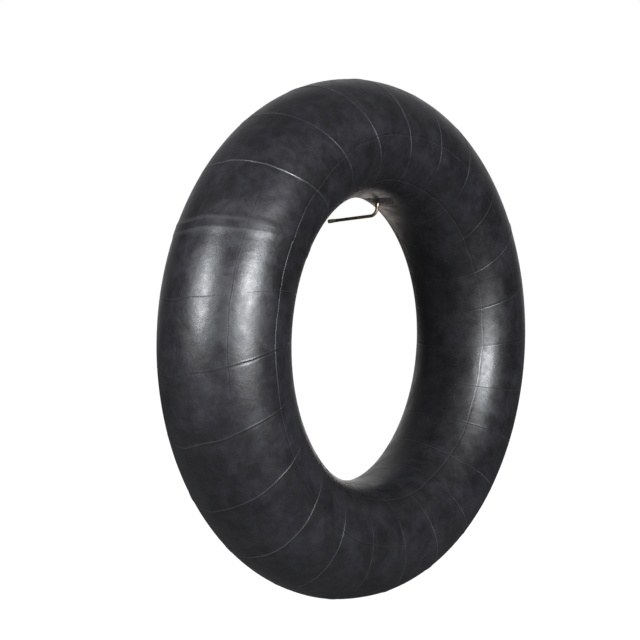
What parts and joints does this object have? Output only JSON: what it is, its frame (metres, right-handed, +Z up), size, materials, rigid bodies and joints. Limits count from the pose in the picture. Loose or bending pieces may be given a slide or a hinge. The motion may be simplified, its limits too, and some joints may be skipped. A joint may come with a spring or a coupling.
{
  "type": "inner tube",
  "caption": "Large truck or earthmover inner tube: hollow butyl ring with moulded cross lines and a long bent brass valve with core and screwed cap, standing upright.",
  "frame": {"origin": "centre of the ring, on its axis and in its middle plane", "axes": "+Y along the ring's axis, the way the valve's long leg points; +Z up through the top of the standing tube; the tube rests on a small flat at its lowest point"},
  "size_m": [1.1106, 0.2641, 1.1046],
  "materials": {
    "tube_rubber": "satin, mottled",
    "pad_rubber": "matte",
    "brass": "drawn, slightly tarnished",
    "dark_brass": "tarnished",
    "core_brass": "bright",
    "cap_metal": "dark nickel over brass",
    "spring_steel": "bright wire",
    "seal_rubber": "matte"
  },
  "bodies": {
    "tube": {"tube_body": "tube_rubber", "valve_pad": "pad_rubber", "spud": "dark_brass", "bent_stem": "brass", "core_plug": "core_brass", "core_barrel": "core_brass", "core_barrel_gasket": "seal_rubber", "core_spring": "spring_steel"},
    "core_pin": {"core_pin": "core_brass", "core_cup": "core_brass", "core_cup_seal": "seal_rubber"},
    "cap_seal": {"cap_gasket": "seal_rubber"},
    "cap": {"cap_shell": "cap_metal"}
  },
  "joints": [
    {"name": "core_press", "type": "slide", "parent": "tube", "child": "core_pin", "axis": [0.012, -0.9971, 0.0758], "range_m": [0, 0.0012], "stiffness_N_per_m": 400, "springref_m": -0.001, "deforming": ["core_spring"]},
    {"name": "cap_run", "type": "slide", "parent": "tube", "child": "cap_seal", "axis": [-0.012, 0.9971, -0.0758], "range_m": [0, 0.0079]},
    {"name": "cap_turn", "type": "hinge", "parent": "cap_seal", "child": "cap", "pos_m": [0.04125, 0.12962, 0.26046], "axis": [-0.012, 0.9971, -0.0758], "range_deg": [0, 3600]}
  ],
  "couplings": [
    {"joint": "cap_turn", "follows": "cap_run", "rad_per_m": 7913.3}
  ]
}
